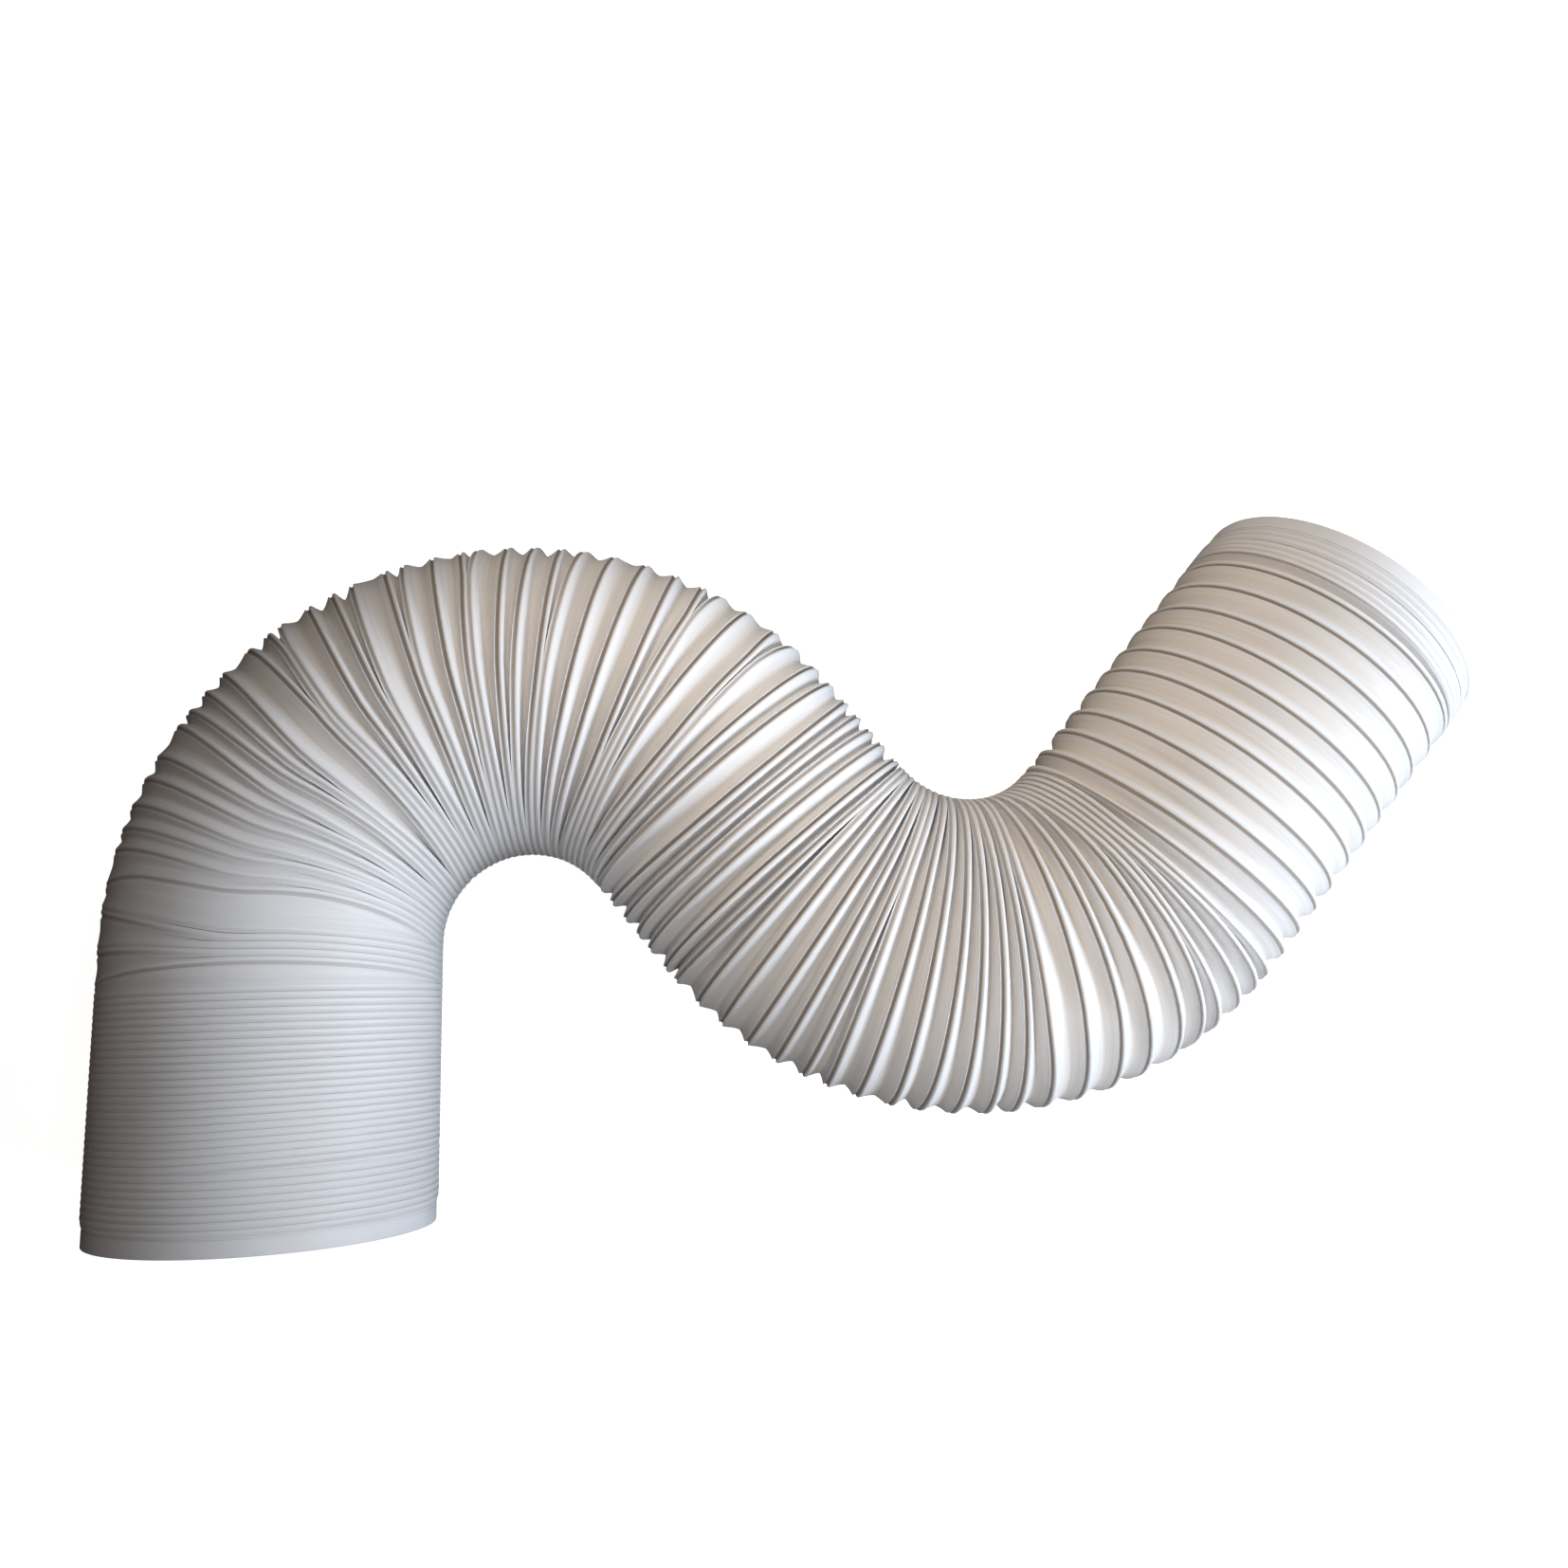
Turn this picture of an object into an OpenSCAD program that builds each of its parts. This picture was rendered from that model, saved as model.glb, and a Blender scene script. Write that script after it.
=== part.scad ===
// Exhaust hose of a portable air conditioner: one spiral-wound plastic duct that lies in an S.
// A wire runs in the crest of every turn, and the film between two crests folds inwards.
// The folds are shut along the column, inside both bends and behind the second mouth,
// and open elsewhere. The first mouth is centred on the origin and faces -Y. The hose
// lies on the plane z = -crest_d / 2.

/* [Duct] */
// Outside diameter over the wire crests
crest_d = 150; // [120:1:180]
// Distance between two crests where the folds are shut
closed_pitch = 3.1; // [2.8:0.1:4]
// Width of the film from a crest to the next valley
flank_w = 7.3; // [5.6:0.1:8]
// Least wall between the deepest valley and the bore
wall = 0.8; // [0.6:0.1:1.6]

/* [End bands] */
// Length of the plain band at each mouth
band_len = 7; // [4:0.5:15]
// How far the band's outer face lies below the wire crests
band_step = 0.9; // [0.5:0.1:2]

/* [Straights] */
// Shut turns in the column behind the first mouth
column_turns = 39; // [20:1:50]
// Turns of the straight run between the two bends
run_turns = 6; // [4:1:15]
// Distance between crests on that run
run_pitch = 10; // [6:0.5:14]
// Turns of the open arm behind the second bend
arm_turns = 11; // [4:1:20]
// Distance between crests on the open arm
arm_pitch = 13.5; // [6:0.5:15]
// Shut turns behind the second mouth
end_turns = 6; // [4:1:12]

/* [Bends] */
// Radius inside the first bend, a right-hand one
arch_inner_r = 41; // [38:1:60]
// Angle of the first bend
arch_angle = 142; // [90:1:145]
// Radius inside the second bend, a left-hand one
dip_inner_r = 40; // [38:1:60]
// Angle of the second bend
dip_angle = 101; // [60:1:110]

/* [Hidden] */

film = [0.93, 0.93, 0.93];
sides = 20;         // points of the wall around one turn
ease_turns = 4;     // turns over which one stretch changes into the next
fold_at = 8;        // points from a crest to the bottom of the fold after it
fade_turns = 2;     // turns over which the folds rise out of a band
lap = 1;            // depth that the folded wall reaches into a band
seat = 0.3;         // least cover of a band over the folded wall's end
bore_step = 2;      // turns between two rings of the bore, in a bend
straight = 0.3;     // bend per turn, in degrees, that still counts as straight

crest_r = crest_d / 2;
bore_r = crest_r - flank_w - wall;
band_outer_r = crest_r - band_step;
band_bore_r = bore_r * cos(180 / sides) - seat;
end_r = band_outer_r - seat;

// The folds are shut inside a bend, which settles how many turns the bend takes.
function bend_turns(angle, inner_r) = angle * PI / 180 * inner_r / closed_pitch;
arch_turns = bend_turns(arch_angle, arch_inner_r);
dip_turns = bend_turns(dip_angle, dip_inner_r);

// Stretches of the hose: turns, pitch on the axis, and bend per turn in degrees,
// positive to the left
STRETCHES = [
    [column_turns, closed_pitch, 0],
    [arch_turns, closed_pitch, -arch_angle / arch_turns],
    [run_turns, run_pitch, 0],
    [dip_turns, closed_pitch, dip_angle / dip_turns],
    [arm_turns, arm_pitch, 0],
    [end_turns, closed_pitch, 0]
];
function turns_before(i) = i == 0 ? 0 : STRETCHES[i - 1][0] + turns_before(i - 1);

// Smooth step from 0 to 1 over the unit interval
function smooth(x) = let (u = min(max(x, 0), 1)) u * u * (3 - 2 * u);

// One column of STRETCHES at turn t, eased from each stretch into the next
function eased(column, t, i = 0) =
    i == 0 ? STRETCHES[0][column] + eased(column, t, 1)
    : i == len(STRETCHES) ? 0
    : (STRETCHES[i][column] - STRETCHES[i - 1][column])
        * smooth((t - turns_before(i)) / ease_turns + 0.5) + eased(column, t, i + 1);
function bend_at(t) = eased(2, t);

// Pitch on the axis: the stretch's own, or more where the bend needs it to keep its
// inside from closing further than shut
function pitch_at(t) = max(eased(1, t), closed_pitch + abs(bend_at(t)) * PI / 180 * crest_r);

// Stations along the axis, `sides` to a turn: x, y, heading, pitch and bend per turn
last = floor(turns_before(len(STRETCHES)) * sides);
STATIONS = [
    for (k = 0, x = 0, y = band_len - lap, h = 90, p = pitch_at(0), b = bend_at(0);
         k <= last;
         x = x + p / sides * cos(h), y = y + p / sides * sin(h), h = h + b / sides,
         k = k + 1, p = pitch_at(k / sides), b = bend_at(k / sides))
        [x, y, h, p, b]
];

// Point at radius r and angle a around the axis at station k: 0 is left and 90 is up
function place(k, r, a) =
    let (s = STATIONS[k])
    [s[0] - sin(s[2]) * r * cos(a), s[1] + cos(s[2]) * r * cos(a), r * sin(a)];

// Depth of the fold at station k and angle a: the film keeps its width, so a fold
// that is pulled open gets shallower
function fold_depth(k, a) =
    let (s = STATIONS[k],
         local_pitch = s[3] - s[4] * PI / 180 * crest_r * cos(a),
         open = min(max(local_pitch - closed_pitch, 0) / 2, 0.95 * flank_w))
    sqrt(flank_w * flank_w - open * open);

// Share of the full fold at station k: none at a band
function fold_share(k) = smooth(min(k, last - k) / sides / fade_turns);

// The wall is made of rows that wind around the axis. An even row is a crest and the
// odd row after it is the bottom of its fold. The row after the next one goes on
// where a row ends.
first_row = -2;
last_row = 2 * ceil(last / sides);
function station_of(row, side) =
    floor(row / 2) * sides + (row % 2 == 0 ? 0 : fold_at) + side;
function wall_point(row, side) =
    let (k = min(max(station_of(row, side), 0), last), a = 360 * side / sides,
         full_r = row % 2 == 0 ? crest_r : crest_r - fold_depth(k, a))
    place(k, end_r + (full_r - end_r) * fold_share(k), a);

// A bore ring at both ends, and through each bend
BORE_STATIONS = [
    for (k = [0 : last])
        if (k == 0 || k == last
            || (k % (bore_step * sides) == 0 && abs(STATIONS[k][4]) > straight))
            k
];

function ring(k, r) = [for (side = [0 : sides - 1]) place(k, r, 360 * side / sides)];

// Points: the first end's ring, the last end's ring, the rows, then the bore's rings
ROWS_AT = 2 * sides;
BORE_AT = ROWS_AT + (last_row - first_row + 1) * sides;
POINTS = concat(
    ring(0, end_r),
    ring(last, end_r),
    [for (row = [first_row : last_row], side = [0 : sides - 1]) wall_point(row, side)],
    [for (k = BORE_STATIONS) each ring(k, bore_r)]
);

// Index of a row's point, which lies on an end's ring where the row runs past that end
function wall_index(row, side) =
    side == sides ? wall_index(row + 2, 0)
    : station_of(row, side) <= 0 ? side
    : station_of(row, side) >= last ? sides + side
    : ROWS_AT + (row - first_row) * sides + side;
function bore_index(i, side) = BORE_AT + i * sides + side % sides;

// Two triangles for four corners, less any that has no area
function patch(a, b, c, d) = [
    if (a != b && b != c && a != c) [a, b, c],
    if (a != c && c != d && a != d) [a, c, d]
];

WALL_FACES = [
    for (row = [first_row : last_row - 1], side = [0 : sides - 1])
        each patch(wall_index(row, side), wall_index(row + 1, side),
                   wall_index(row + 1, side + 1), wall_index(row, side + 1))
];
BORE_FACES = [
    for (i = [0 : len(BORE_STATIONS) - 2], side = [0 : sides - 1])
        each patch(bore_index(i, side), bore_index(i, side + 1),
                   bore_index(i + 1, side + 1), bore_index(i + 1, side))
];
END_FACES = [
    for (side = [0 : sides - 1], next = [(side + 1) % sides])
        each concat(
            patch(side, next, bore_index(0, next), bore_index(0, side)),
            patch(sides + next, sides + side,
                  bore_index(len(BORE_STATIONS) - 1, side),
                  bore_index(len(BORE_STATIONS) - 1, next)))
];

module folded_wall() {
    polyhedron(points = POINTS, faces = concat(WALL_FACES, BORE_FACES, END_FACES));
}

// Plain band at a mouth, from its lap over the wall at station k to the mouth's rim
module band(k, heading) {
    translate([STATIONS[k][0], STATIONS[k][1], 0])
        rotate([0, 0, heading - 90])
            rotate([-90, 0, 0])
                rotate_extrude($fn = 120)
                    translate([band_bore_r, -lap])
                        square([band_outer_r - band_bore_r, band_len]);
}

module hose() {
    color(film) union() {
        folded_wall();
        band(0, STATIONS[0][2] + 180);
        band(last, STATIONS[last][2]);
    }
}

hose();
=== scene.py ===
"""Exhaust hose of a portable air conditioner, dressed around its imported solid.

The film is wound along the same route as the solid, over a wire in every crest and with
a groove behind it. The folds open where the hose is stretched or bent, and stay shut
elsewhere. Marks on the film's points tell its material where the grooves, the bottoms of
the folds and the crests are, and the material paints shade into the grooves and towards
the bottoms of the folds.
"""

import math

import bpy
import numpy as np
from mathutils import Matrix, Vector


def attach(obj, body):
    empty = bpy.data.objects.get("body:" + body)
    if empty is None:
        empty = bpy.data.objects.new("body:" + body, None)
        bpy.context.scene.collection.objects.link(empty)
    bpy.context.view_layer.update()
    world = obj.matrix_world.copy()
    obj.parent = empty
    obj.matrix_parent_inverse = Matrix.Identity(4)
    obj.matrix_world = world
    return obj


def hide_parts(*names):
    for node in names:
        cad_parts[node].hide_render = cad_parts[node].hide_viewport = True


MM = 0.001

# Duct, and how far its lining lies below the crests and inside the end rings
CREST_R = 75 * MM
CLOSED_PITCH = 3.1 * MM
FLANK_W = 7.3 * MM
FOLD_DEPTH_MAX = 6.2 * MM
FILM_T = 0.4 * MM
LINING_CLEAR = 3 * FILM_T
LINING_RIM = 2 * FILM_T

# Crest over the wire, from its front edge to its back, and the groove and the shoulder
# behind it: distances from the crest along the surface, and depths below it
EDGE = 1 * MM
EDGE_DEPTH = 0.4 * MM
BACK = 0.55 * MM
BACK_DEPTH = 0.22 * MM
GROOVE_NEAR = 1 * MM
GROOVE_FAR = 2.1 * MM
GROOVE_DEPTH = 1.2 * MM
GROOVE_FAR_SHARE = 0.9
SHOULDER_BACK = 2.6 * MM
SHOULDER_DEPTH = 0.35 * MM

# End bands
BAND_LEN = 7 * MM
BAND_OUTER_R = CREST_R - 0.9 * MM
BAND_WALL = 1.2 * MM
BAND_ROUND = 0.4 * MM
BAND_ROUND_CUT = 0.3 * BAND_ROUND
LAP = 1 * MM
END_R = BAND_OUTER_R - 0.3 * MM

# Route: turns, pitch on the axis, and bend of each stretch, positive to the left
ARCH_INNER_R = 41 * MM
ARCH_ANGLE = 142
DIP_INNER_R = 40 * MM
DIP_ANGLE = 101
ARCH_TURNS = math.radians(ARCH_ANGLE) * ARCH_INNER_R / CLOSED_PITCH
DIP_TURNS = math.radians(DIP_ANGLE) * DIP_INNER_R / CLOSED_PITCH
STRETCHES = (
    (39, CLOSED_PITCH, 0),
    (ARCH_TURNS, CLOSED_PITCH, -ARCH_ANGLE / ARCH_TURNS),
    (6, 10 * MM, 0),
    (DIP_TURNS, CLOSED_PITCH, DIP_ANGLE / DIP_TURNS),
    (11, 13.5 * MM, 0),
    (6, CLOSED_PITCH, 0),
)
EASE_TURNS = 4
FADE_TURNS = 2
SETTLE_TURNS = 3
STEPS = 20
SPARE_TURNS = 2
LAST_TURN = math.floor(sum(stretch[0] for stretch in STRETCHES) * STEPS) / STEPS

# How the crests lie: turn, lean of the rings in degrees, and how much that lean strays
LEANS = (
    (38, 0, 0),
    (44, 0, 1),
    (48, 1.6, 3.2),
    (72, 1.6, 3.2),
    (78, 0, 1.5),
    (95, 0, 1.5),
    (98, -2.5, 1),
    (102, -9.5, 0.5),
    (104.5, -6, 0.5),
    (106, -5, 0.8),
    (112, -3, 0.5),
    (116, 0, 0),
)

# Shares of a turn: from a ring's lowest point to its left, and over which it holds
RING_FROM = 0.25
RING_HOLD = 0.75

# How far the rings stray where the hose is open, and what limits the gaps between them
WOBBLE = 0.9 * MM
LOOSE_AT = 4 * MM
LEAST_GAP = 0.97 * CLOSED_PITCH
MOST_GAP = 16 * MM
RELAX_PASSES = 60

# Openings between two crests: the crest behind it, the angle of its middle and half its
# reach in degrees, its width, how many crests after it move the whole width forwards,
# and the turns over which the next ones fall back
OPENINGS = (
    (8, 150, 80, 2.6 * MM, 1, 12),
    (32, 97, 94, 8.5 * MM, 6, 20),
    (33, -10, 105, 12.5 * MM, 5, 24),
    (35, -10, 105, 14 * MM, 3, 24),
    (37, 85, 95, 15 * MM, 1, 20),
    (38, -10, 105, 10 * MM, 1, 24),
    (40, 60, 110, 3 * MM, 1, 3),
    (43, 40, 120, 8 * MM, 1, 1),
    (92, 100, 100, 6 * MM, 3, 5),
    (94, 100, 100, 6 * MM, 1, 5),
)
LENS_POWER = 1.5

# The open folds run up to the second mouth's shut ones: turn, reach in turns, and push
LAST_PUSH = (111.5, 0.8, 3.9 * MM)

# How the folds lie: turn, share of the way from a crest to the bottom of its fold, how
# much that share strays, how much of its full depth the fold has, and how much of its
# full relief the crest has beside a shut fold and beside an open one
FOLDS = (
    (28, 0.45, 0, 0.06, 0.16, 1),
    (32, 0.62, 0, 0.12, 0.16, 0.45),
    (37, 0.62, 0, 0.14, 0.18, 0.5),
    (41, 0.5, 0, 0.32, 0.25, 0.65),
    (46, 0.44, 0.11, 0.62, 0.4, 0.9),
    (50, 0.46, 0.11, 0.68, 0.45, 1),
    (72, 0.5, 0.09, 0.7, 0.45, 1),
    (80, 0.52, 0.04, 0.86, 0.5, 1),
    (96, 0.5, 0.04, 0.9, 0.8, 1),
    (102, 0.44, 0.04, 0.9, 0.8, 1),
    (104, 0.38, 0.03, 0.7, 0.5, 1),
    (112, 0.38, 0.03, 0.7, 0.3, 1),
    (114, 0.4, 0, 0.2, 0.2, 1),
)

# Limits of that share, least depth and width of a fold, and the fullness from which it takes all
# of its painted shade
LEAST_SHARE = 0.24
MOST_SHARE = 0.62
FLAT_DEPTH = 0.25 * FLANK_W
LEAST_FOLD = 0.1 * MM
DEEP_AT = 0.7

# Flanks of a fold: steps down the front one and up the back one, and how they bow
FRONT_STEPS = (0.35, 0.7, 1)
FRONT_BOW = 0.55
BACK_STEPS = (0.85, 0.6, 0.3, 0.1, 0)
BACK_BOW = 1.4

# Rows of the film that its lining follows: crest, bottom of the fold, and back flank
LINING_ROWS = (0, 5, 8)

# Film: the two whites that it varies between, and the colours of its painted shade in a fold and
# in a groove
DULL_WHITE = (0.66, 0.67, 0.69, 1)
CLEAN_WHITE = (0.73, 0.74, 0.76, 1)
PAINTED_FOLD_SHADE = (0.62, 0.598, 0.575, 1)
PAINTED_GROOVE_SHADE = (0.27, 0.235, 0.205, 1)

# Waves a metre of its clouds, its grain, and the streaks that run with the winding
CLOUDS = 14
GRAIN = 260
STREAKS_ACROSS = 650
STREAKS_ALONG = 14

# Mesh
SIDES = 56
BAND_SIDES = 120
SHARP_EDGE = 62
SEED = 7

# Camera and floor, and what the lights aim at
CAMERA_AT = (0.2016, 0.0864, 0.6167)
CAMERA_TARGET = (0.24, 0.2, 0)
CAMERA_UP = (0.03, 1, 0)
CAMERA_LENS = 29.385
FLOOR_Z = -CREST_R
FLOOR_HALF = 4
RUN = (0.25, 0.15, 0)
ARM = (0.42, 0.18, 0)


def smooth(x):
    """Smooth step from 0 to 1 over the unit interval."""
    u = np.clip(x, 0, 1)
    return u * u * (3 - 2 * u)


def eased(column, turn):
    """One column of STRETCHES at a turn, eased from each stretch into the next."""
    value = np.full(np.shape(turn), float(STRETCHES[0][column]))
    start = 0
    for before, after in zip(STRETCHES, STRETCHES[1:]):
        start += before[0]
        step = after[column] - before[column]
        value = value + step * smooth((turn - start) / EASE_TURNS + 0.5)
    return value


def summed(rate):
    """Running sum of a rate per turn over the stations, 0 at the first end ring."""
    total = np.concatenate([[0], np.cumsum(rate[:-1] / STEPS)])
    return total - total[SPARE_TURNS * STEPS]


class Route:
    """The hose's axis, tabled at STEPS stations a turn and a little past both end rings."""

    def __init__(self):
        first = -SPARE_TURNS * STEPS
        last = round(LAST_TURN * STEPS) + SPARE_TURNS * STEPS
        self.turn = np.arange(first, last + 1) / STEPS
        self.bend = np.radians(eased(2, self.turn))
        self.pitch = np.maximum(eased(1, self.turn), CLOSED_PITCH + abs(self.bend) * CREST_R)
        self.heading = math.pi / 2 + summed(self.bend)
        self.x = summed(self.pitch * np.cos(self.heading))
        self.y = BAND_LEN - LAP + summed(self.pitch * np.sin(self.heading))
        self.length = summed(self.pitch)

    def at(self, name, turn):
        """One tabled quantity at a turn."""
        return np.interp(turn, self.turn, getattr(self, name))

    def place(self, turn, radius, angle):
        """Points at a radius and an angle around the axis: 0 is left, a quarter is up."""
        heading = self.at("heading", turn)
        left = radius * np.cos(angle)
        x = self.at("x", turn) - np.sin(heading) * left
        y = self.at("y", turn) + np.cos(heading) * left
        return np.stack([x, y, radius * np.sin(angle)], axis=-1)

    def along(self, turn, angle):
        """Distance run by the surface at an angle, on the crests' own radius."""
        turned = self.at("heading", turn) - math.pi / 2
        return self.at("length", turn) - turned * CREST_R * np.cos(angle)

    def turn_along(self, distance):
        """The turn at each distance along the surface, for a distance list that winds."""
        turn = np.empty(len(distance))
        for side in range(SIDES):
            table = self.along(self.turn, 2 * math.pi * side / SIDES)
            turn[side::SIDES] = np.interp(distance[side::SIDES], table, self.turn)
        return turn


def strayed(rng, turn):
    """Random height that each ring keeps over its top, and changes underneath."""
    at = turn - turn[0] + RING_FROM
    base = np.floor(at).astype(int)
    heights = rng.normal(size=base[-1] + 2)
    u = smooth((at - base - RING_HOLD) / (1 - RING_HOLD))
    return heights[base] * (1 - u) + heights[base + 1] * u


def opened(opening, turn):
    """How far an opening pushes each crest forwards: a pointed lens across its middle."""
    behind, middle, reach, width, whole, fade = opening
    from_middle = turn - middle / 360
    number = np.floor(from_middle + 0.5)
    away = 360 * (from_middle - number) / reach
    after = number - behind
    share = np.where(after > 0, np.clip(1 - (after - whole) / fade, 0, 1), 0)
    return width * share * np.maximum(1 - away**2, 0) ** LENS_POWER


def wanted_shift(turn, angle, spare):
    """Where the crests would lie along the surface, were there no limit to their gaps."""
    rng = np.random.default_rng(SEED)
    at, lean, stray = np.array(LEANS).T
    lean = np.interp(turn, at, lean) + np.interp(turn, at, stray) * strayed(rng, turn)
    shift = CREST_R * np.sin(angle) * np.tan(np.radians(lean))
    shift += WOBBLE * smooth(spare / LOOSE_AT) * strayed(rng, turn)
    for opening in OPENINGS:
        shift += opened(opening, turn)
    middle, reach, push = LAST_PUSH
    shift += push * np.exp(-(((turn - middle) / reach) ** 2))
    return shift


def limited(shift, gap):
    """The crests' shifts, evened out until no gap is too tight or too wide."""
    most = np.maximum(gap, MOST_GAP)
    for _ in range(RELAX_PASSES):
        now = gap + shift[SIDES:] - shift[:-SIDES]
        push = (np.maximum(LEAST_GAP - now, 0) - np.maximum(now - most, 0)) / 2
        shift[:-SIDES] -= push
        shift[SIDES:] += push
    return shift


class Spiral:
    """Where the crest runs: its station in turns at each step, SIDES steps to a turn.

    Where the hose is open some crests bunch and others spread, as the film lets them.
    It starts one turn early and ends one turn late, so that it covers both end rings.
    """

    def __init__(self, route):
        self.route = route
        self.step = np.arange(-SIDES, round(LAST_TURN * SIDES) + SIDES)
        self.angle = 2 * math.pi * self.step / SIDES
        turn = self.step / SIDES
        even = route.along(turn, self.angle)
        gap = even[SIDES:] - even[:-SIDES]
        spare = np.concatenate([gap, gap[-SIDES:]]) - CLOSED_PITCH
        shift = limited(wanted_shift(turn, self.angle, spare), gap)
        shift *= smooth(turn / SETTLE_TURNS) * smooth((LAST_TURN - turn) / SETTLE_TURNS)
        along = even + shift
        self.crest = route.turn_along(along)
        self.gap = np.concatenate([along[SIDES:] - along[:-SIDES], np.full(SIDES, CLOSED_PITCH)])
        ahead = np.concatenate([self.crest[SIDES:], self.crest[-SIDES:] + 1])
        self.spacing = self.gap / (ahead - self.crest)
        self.lay_folds(turn)

    def lay_folds(self, turn):
        """Set where each fold's bottom lies, its share of the depth, and its relief."""
        at, share, stray, full, shut_relief, open_relief = np.array(FOLDS).T
        strays = np.interp(turn, at, stray) * strayed(np.random.default_rng(SEED + 1), turn)
        share = np.interp(turn, at, share) + strays
        self.valley = np.clip(share, LEAST_SHARE, MOST_SHARE)
        self.full = np.interp(turn, at, full) - strays
        openness = smooth((self.gap - CLOSED_PITCH) / 2 / LOOSE_AT)
        self.relief = np.interp(turn, at, shut_relief) * (1 - openness)
        self.relief += np.interp(turn, at, open_relief) * openness

    def rise(self, turn):
        """Share of the full fold at a turn: none at an end ring."""
        return smooth(np.minimum(turn, LAST_TURN - turn) / FADE_TURNS)


def film_rows(spiral):
    """Rows of the film from each crest to the next.

    Each row has its distance forward of the crest behind it, its depth below the crests,
    and two marks: how much painted shade darkens its groove, and how near it is to the
    bottom of the fold, which sets the fold's painted shade.
    """
    gap = spiral.gap
    spread = np.maximum(gap - CLOSED_PITCH, 0) / 2
    depth = np.sqrt(np.maximum(FLANK_W**2 - spread**2, FLAT_DEPTH**2))
    depth = np.minimum(depth, FOLD_DEPTH_MAX) * spiral.full
    shoulder = np.maximum(gap - SHOULDER_BACK, EDGE + LEAST_FOLD)
    valley = EDGE + (shoulder - EDGE) * spiral.valley
    relief = spiral.relief
    edge = EDGE_DEPTH * relief
    rows = [(0, 0, 0, 0), (EDGE / 2, edge / 4, 0, 0), (EDGE, edge, 0, 0)]
    # How much of the painted shade the bottom of a fold takes, growing with its fullness
    deep = smooth(spiral.full / DEEP_AT)
    for u in FRONT_STEPS:
        drop = FRONT_BOW * math.sin(math.pi / 2 * u) + (1 - FRONT_BOW) * u
        rows.append((EDGE + (valley - EDGE) * u, edge + (depth - edge) * drop, 0, u * deep))
    rim = SHOULDER_DEPTH * relief
    for u in BACK_STEPS:
        drop = 1 - (1 - u) ** BACK_BOW
        forward = shoulder - (shoulder - valley) * u
        rows.append((forward, rim + (depth - rim) * drop, 0, drop * deep))
    groove = GROOVE_DEPTH * relief
    far = np.maximum(gap - GROOVE_FAR, shoulder)
    # The two groove rows are marked for painted shade, as strong as the crest's relief
    rows.append((far, GROOVE_FAR_SHARE * groove, relief, 0))
    rows.append((gap - GROOVE_NEAR, groove, relief, 0))
    rows.append((gap - BACK, BACK_DEPTH * relief, 0, 0))
    return rows


def lining_rows(spiral):
    """Rows of the film's inner face, which needs fewer."""
    outer = film_rows(spiral)
    crest, bottom, flank = (outer[row] for row in LINING_ROWS)
    return [
        (crest[0], crest[1] + LINING_CLEAR, 0, 0),
        (bottom[0], bottom[1] + FILM_T, 0, 0),
        (flank[0], flank[1] + LINING_CLEAR, 0, 0),
    ]


def wound_sheet(spiral, rows_of):
    """Sheet wound between two end rings: its points, marks and triangles.

    A row that has gone round once goes on as the same row of the next turn. The first
    SIDES points are the start ring and the next SIDES are the end ring. The last mark is
    the distance off the nearest crest.
    """
    route = spiral.route
    ring = spiral.angle[:SIDES]
    points = [route.place(np.zeros(SIDES), END_R, ring)]
    points.append(route.place(np.full(SIDES, LAST_TURN), END_R, ring))
    marks = [np.zeros((2 * SIDES, 3))]
    ids = []
    count = 2 * SIDES
    side = spiral.step % SIDES
    for forward, depth, groove, bottom in rows_of(spiral):
        turn = spiral.crest + forward / spiral.spacing
        radius = END_R + (CREST_R - depth - END_R) * spiral.rise(turn)
        row = np.where(turn <= 0, side, SIDES + side)
        free = np.flatnonzero((turn > 0) & (turn < LAST_TURN))
        row[free] = count + np.arange(len(free))
        count += len(free)
        ids.append(row)
        points.append(route.place(turn, radius, spiral.angle)[free])
        off_crest = np.minimum(forward, spiral.gap - forward)
        three = np.broadcast_arrays(groove, bottom, off_crest)
        marks.append(np.stack(three, axis=1)[free])
    ids.append(np.concatenate([ids[0][SIDES:], SIDES + side[-SIDES:]]))
    triangles = []
    for near, far in zip(ids, ids[1:]):
        triangles.append(np.stack([near[:-1], near[1:], far[1:]], axis=1))
        triangles.append(np.stack([near[:-1], far[1:], far[:-1]], axis=1))
    faces = np.concatenate(triangles)
    a, b, c = faces.T
    faces = faces[(a != b) & (b != c) & (a != c)]
    return np.concatenate(points), np.concatenate(marks), faces


def make_mesh(name, points, faces, marks=None):
    """Smooth-shaded object from points and faces, with marks as point attributes."""
    mesh = bpy.data.meshes.new(name)
    mesh.from_pydata(points.tolist(), [], np.asarray(faces).tolist())
    mesh.update()
    mesh.polygons.foreach_set("use_smooth", [True] * len(mesh.polygons))
    mesh.set_sharp_from_angle(angle=math.radians(SHARP_EDGE))
    if marks is not None:
        # The groove and bottom marks set where the material paints shade
        for column, label in enumerate(("groove", "bottom", "off_crest")):
            layer = mesh.attributes.new(label, "FLOAT", "POINT")
            layer.data.foreach_set("value", marks[:, column].astype(np.float32))
    piece = bpy.data.objects.new(name, mesh)
    bpy.context.scene.collection.objects.link(piece)
    return piece


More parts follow.
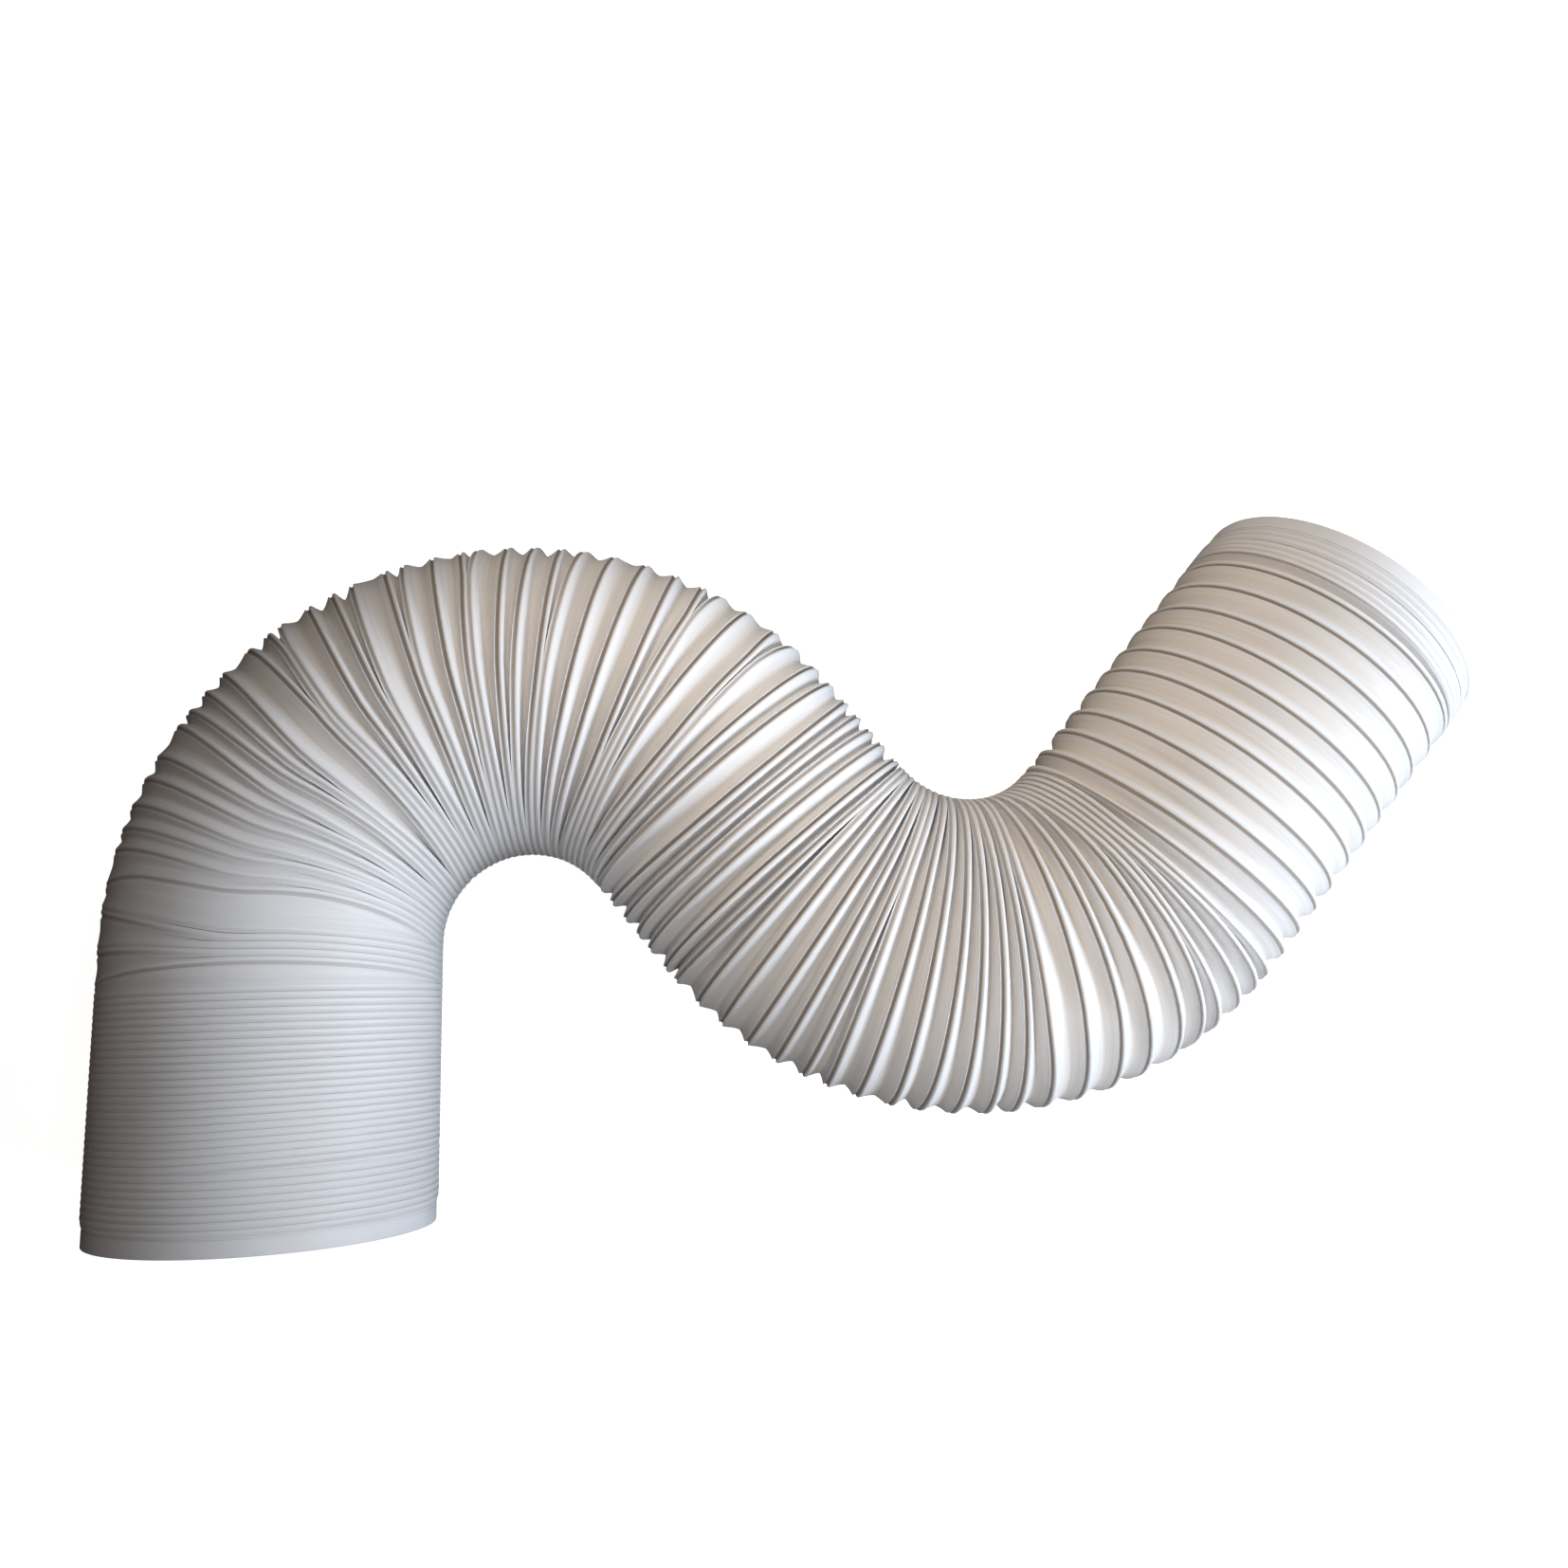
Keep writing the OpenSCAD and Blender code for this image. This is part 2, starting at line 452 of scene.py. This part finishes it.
def make_lining(spiral):
    """The film's inner face, and the narrow rims that join it to the outer one."""
    points, _, faces = wound_sheet(spiral, lining_rows)
    ring = spiral.angle[:SIDES]
    inner_r = END_R - LINING_RIM
    rims = []
    for turn, start in ((0, 0), (LAST_TURN, SIDES)):
        rims.append(spiral.route.place(np.full(SIDES, turn), END_R, ring))
        points[start : start + SIDES] = spiral.route.place(np.full(SIDES, turn), inner_r, ring)
    here = np.arange(SIDES)
    after = (here + 1) % SIDES
    first = len(points)
    last = first + SIDES
    strips = [
        np.stack([first + after, first + here, here], axis=1),
        np.stack([first + after, here, after], axis=1),
        np.stack([last + here, last + after, SIDES + here], axis=1),
        np.stack([last + after, SIDES + after, SIDES + here], axis=1),
    ]
    points = np.concatenate([points] + rims)
    return make_mesh("lining", points, np.concatenate([faces[:, ::-1]] + strips))


def make_band(name, route, turn, outwards):
    """Plain band at a mouth, turned from a rounded section, lapping over the film's end."""
    inner_r = BAND_OUTER_R - BAND_WALL
    rim = BAND_LEN - LAP
    section = [
        (BAND_OUTER_R, -LAP),
        (BAND_OUTER_R, rim - BAND_ROUND),
        (BAND_OUTER_R - BAND_ROUND_CUT, rim - BAND_ROUND_CUT),
        (BAND_OUTER_R - BAND_ROUND, rim),
        (inner_r + BAND_ROUND, rim),
        (inner_r + BAND_ROUND_CUT, rim - BAND_ROUND_CUT),
        (inner_r, rim - BAND_ROUND),
        (inner_r, -LAP),
    ]
    heading = float(route.at("heading", turn))
    axis = Vector((math.cos(heading), math.sin(heading), 0)) * outwards
    left = Vector((-math.sin(heading), math.cos(heading), 0))
    centre = Vector((float(route.at("x", turn)), float(route.at("y", turn)), 0))
    points = []
    for k in range(BAND_SIDES):
        angle = 2 * math.pi * k / BAND_SIDES
        spoke = left * math.cos(angle) + Vector((0, 0, math.sin(angle)))
        points += [centre + spoke * radius + axis * along for radius, along in section]
    count = len(section)
    grid = np.arange(BAND_SIDES * count).reshape(BAND_SIDES, count)
    across = np.roll(grid, -1, axis=0)
    faces = np.stack(
        [grid, across, np.roll(across, -1, axis=1), np.roll(grid, -1, axis=1)], axis=-1
    ).reshape(-1, 4)
    if outwards > 0:
        faces = faces[:, ::-1]
    return make_mesh(name, np.array([list(p) for p in points]), faces)


def add_noise(nodes, scale, detail):
    node = nodes.new("ShaderNodeTexNoise")
    node.inputs["Scale"].default_value = scale
    node.inputs["Detail"].default_value = detail
    return node


def add_tint(nodes, colour):
    """Mix towards a colour: A is what it tints, and its factor is still open."""
    node = nodes.new("ShaderNodeMix")
    node.data_type = "RGBA"
    node.inputs["B"].default_value = colour
    return node


def add_mark(nodes, label):
    node = nodes.new("ShaderNodeAttribute")
    node.attribute_name = label
    return node.outputs["Fac"]


def add_scaled(nodes, scale=1):
    node = nodes.new("ShaderNodeVectorMath")
    node.operation = "SCALE"
    node.inputs["Scale"].default_value = scale
    return node


def add_range(nodes, least, most):
    node = nodes.new("ShaderNodeMapRange")
    node.inputs["To Min"].default_value = least
    node.inputs["To Max"].default_value = most
    return node


def add_bump(nodes, strength, distance):
    node = nodes.new("ShaderNodeBump")
    node.inputs["Strength"].default_value = strength
    node.inputs["Distance"].default_value = distance
    return node


def add_streaks(nodes, link, place):
    """Noise that is drawn out along the winding, by the distance off the nearest crest."""
    across = add_scaled(nodes, STREAKS_ACROSS)
    link(add_mark(nodes, "off_crest"), across.inputs["Vector"])
    drawn = nodes.new("ShaderNodeVectorMath")
    drawn.operation = "MULTIPLY_ADD"
    drawn.inputs[1].default_value = (STREAKS_ALONG,) * 3
    link(place, drawn.inputs[0])
    link(across.outputs["Vector"], drawn.inputs[2])
    streaks = add_noise(nodes, 1, 3)
    link(drawn.outputs["Vector"], streaks.inputs["Vector"])
    return streaks.outputs["Fac"]


def film_material():
    """White film, faintly streaked: clean on the crests, with painted shade warmer and greyer in
    the folds and dark in the grooves.
    """
    material = bpy.data.materials.new("film")
    material.use_nodes = True
    nodes = material.node_tree.nodes
    link = material.node_tree.links.new
    shader = nodes["Principled BSDF"]
    shader.inputs["IOR"].default_value = 1.49
    shader.inputs["Specular IOR Level"].default_value = 0.35
    place = nodes.new("ShaderNodeTexCoord").outputs["Object"]
    clouds = add_noise(nodes, CLOUDS, 3)
    link(place, clouds.inputs["Vector"])
    streaks = add_streaks(nodes, link, place)

    white = add_tint(nodes, CLEAN_WHITE)
    white.inputs["A"].default_value = DULL_WHITE
    link(clouds.outputs["Fac"], white.inputs["Factor"])
    # Painted shade: greyer and warmer towards the bottom of each fold
    warm = add_tint(nodes, PAINTED_FOLD_SHADE)
    link(white.outputs["Result"], warm.inputs["A"])
    link(add_mark(nodes, "bottom"), warm.inputs["Factor"])
    # Painted shade: dark in the groove behind each crest
    dark = add_tint(nodes, PAINTED_GROOVE_SHADE)
    link(warm.outputs["Result"], dark.inputs["A"])
    link(add_mark(nodes, "groove"), dark.inputs["Factor"])
    shade = add_range(nodes, 0.92, 1.04)
    shade.inputs["From Min"].default_value = 0.3
    shade.inputs["From Max"].default_value = 0.7
    link(streaks, shade.inputs["Value"])
    streaked = add_scaled(nodes)
    link(dark.outputs["Result"], streaked.inputs["Vector"])
    link(shade.outputs["Result"], streaked.inputs["Scale"])
    link(streaked.outputs["Vector"], shader.inputs["Base Color"])

    polish = add_range(nodes, 0.42, 0.58)
    link(clouds.outputs["Fac"], polish.inputs["Value"])
    link(polish.outputs["Result"], shader.inputs["Roughness"])

    pulls = add_bump(nodes, 0.25, 0.25 * MM)
    link(streaks, pulls.inputs["Height"])
    grain = add_noise(nodes, GRAIN, 2)
    link(place, grain.inputs["Vector"])
    bump = add_bump(nodes, 0.12, 0.3 * MM)
    link(grain.outputs["Fac"], bump.inputs["Height"])
    link(pulls.outputs["Normal"], bump.inputs["Normal"])
    link(bump.outputs["Normal"], shader.inputs["Normal"])
    return material


def floor_material():
    """Near white, and bright enough by itself to fade out under the lights."""
    material = bpy.data.materials.new("floor")
    material.use_nodes = True
    shader = material.node_tree.nodes["Principled BSDF"]
    shader.inputs["Base Color"].default_value = (0.93, 0.93, 0.93, 1)
    shader.inputs["Roughness"].default_value = 0.9
    shader.inputs["Emission Color"].default_value = (1, 1, 1, 1)
    shader.inputs["Emission Strength"].default_value = 0.85
    return material


def make_floor():
    """Pale floor that throws no light back up, so that the hose darkens towards it."""
    corners = np.array([(-1, -1), (1, -1), (1, 1), (-1, 1)]) * FLOOR_HALF
    points = np.concatenate([corners, np.full((4, 1), FLOOR_Z)], axis=1)
    floor = make_mesh("floor", points, [[0, 1, 2, 3]])
    floor.data.materials.append(floor_material())
    floor.visible_diffuse = False
    floor.visible_glossy = False
    return floor


def area_light(name, place, target, size, power, colour, spread=180):
    """Soft square light at a place, aimed at a target and narrowed to a spread."""
    data = bpy.data.lights.new(name, "AREA")
    data.size = size
    data.energy = power
    data.color = colour
    data.spread = math.radians(spread)
    light = bpy.data.objects.new(name, data)
    light.location = place
    towards = Vector(target) - Vector(place)
    light.rotation_euler = towards.to_track_quat("-Z", "Y").to_euler()
    bpy.context.scene.collection.objects.link(light)


def light_hose():
    """Cool light from the right, white from above and in front, weak warm from the left."""
    area_light("key", (1.3, -0.25, 0.45), (0.5, 0.15, 0), 0.5, 2.6, (0.84, 0.91, 1), 60)
    area_light("side", (0.95, 0.9, 0.6), RUN, 0.8, 3.4, (0.8, 0.88, 1))
    area_light("over", (0.25, 0.15, 1), RUN, 0.6, 2.25, (1, 0.985, 0.98))
    area_light("gap", (0.12, 0.5, 0.45), ARM, 0.3, 0.55, (1, 0.82, 0.63), 90)
    area_light("left", (-1, 0.1, 0.35), RUN, 0.8, 0.25, (1, 0.42, 0.15))
    area_light("low", (0.22, -0.55, 0.35), ARM, 0.35, 0.46, (1, 0.95, 0.91), 80)


def make_world():
    """White surroundings, which the hose neither reflects nor is lit by."""
    world = bpy.data.worlds.new("world")
    world.use_nodes = True
    world.node_tree.nodes["Background"].inputs["Color"].default_value = (1, 1, 1, 1)
    world.node_tree.nodes["Background"].inputs["Strength"].default_value = 1
    world.cycles_visibility.diffuse = False
    world.cycles_visibility.glossy = False
    bpy.context.scene.world = world
    bpy.context.scene.view_settings.view_transform = "Standard"


def make_camera():
    """Camera above the hose, looking almost straight down."""
    data = bpy.data.cameras.new("camera")
    data.lens = CAMERA_LENS
    camera = bpy.data.objects.new("camera", data)
    back = (Vector(CAMERA_AT) - Vector(CAMERA_TARGET)).normalized()
    right = Vector(CAMERA_UP).cross(back).normalized()
    up = back.cross(right)
    turned = Matrix((right, up, back)).transposed().to_4x4()
    camera.matrix_world = Matrix.Translation(CAMERA_AT) @ turned
    bpy.context.scene.collection.objects.link(camera)
    bpy.context.scene.camera = camera


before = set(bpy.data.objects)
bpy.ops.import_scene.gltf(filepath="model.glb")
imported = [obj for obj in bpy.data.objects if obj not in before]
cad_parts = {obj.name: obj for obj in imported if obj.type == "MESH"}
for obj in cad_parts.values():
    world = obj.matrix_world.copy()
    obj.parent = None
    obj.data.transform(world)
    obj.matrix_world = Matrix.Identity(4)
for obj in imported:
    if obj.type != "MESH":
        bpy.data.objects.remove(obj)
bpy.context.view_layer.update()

route = Route()
spiral = Spiral(route)
points, marks, faces = wound_sheet(spiral, film_rows)
film = make_mesh("film", points, faces, marks)
pieces = [film, make_lining(spiral)]
pieces.append(make_band("inlet_band", route, 0, -1))
pieces.append(make_band("outlet_band", route, LAST_TURN, 1))
finish = film_material()
for piece in pieces:
    piece.data.materials.append(finish)
    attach(piece, "root")
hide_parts("hose")

make_floor()
light_hose()
make_world()
make_camera()
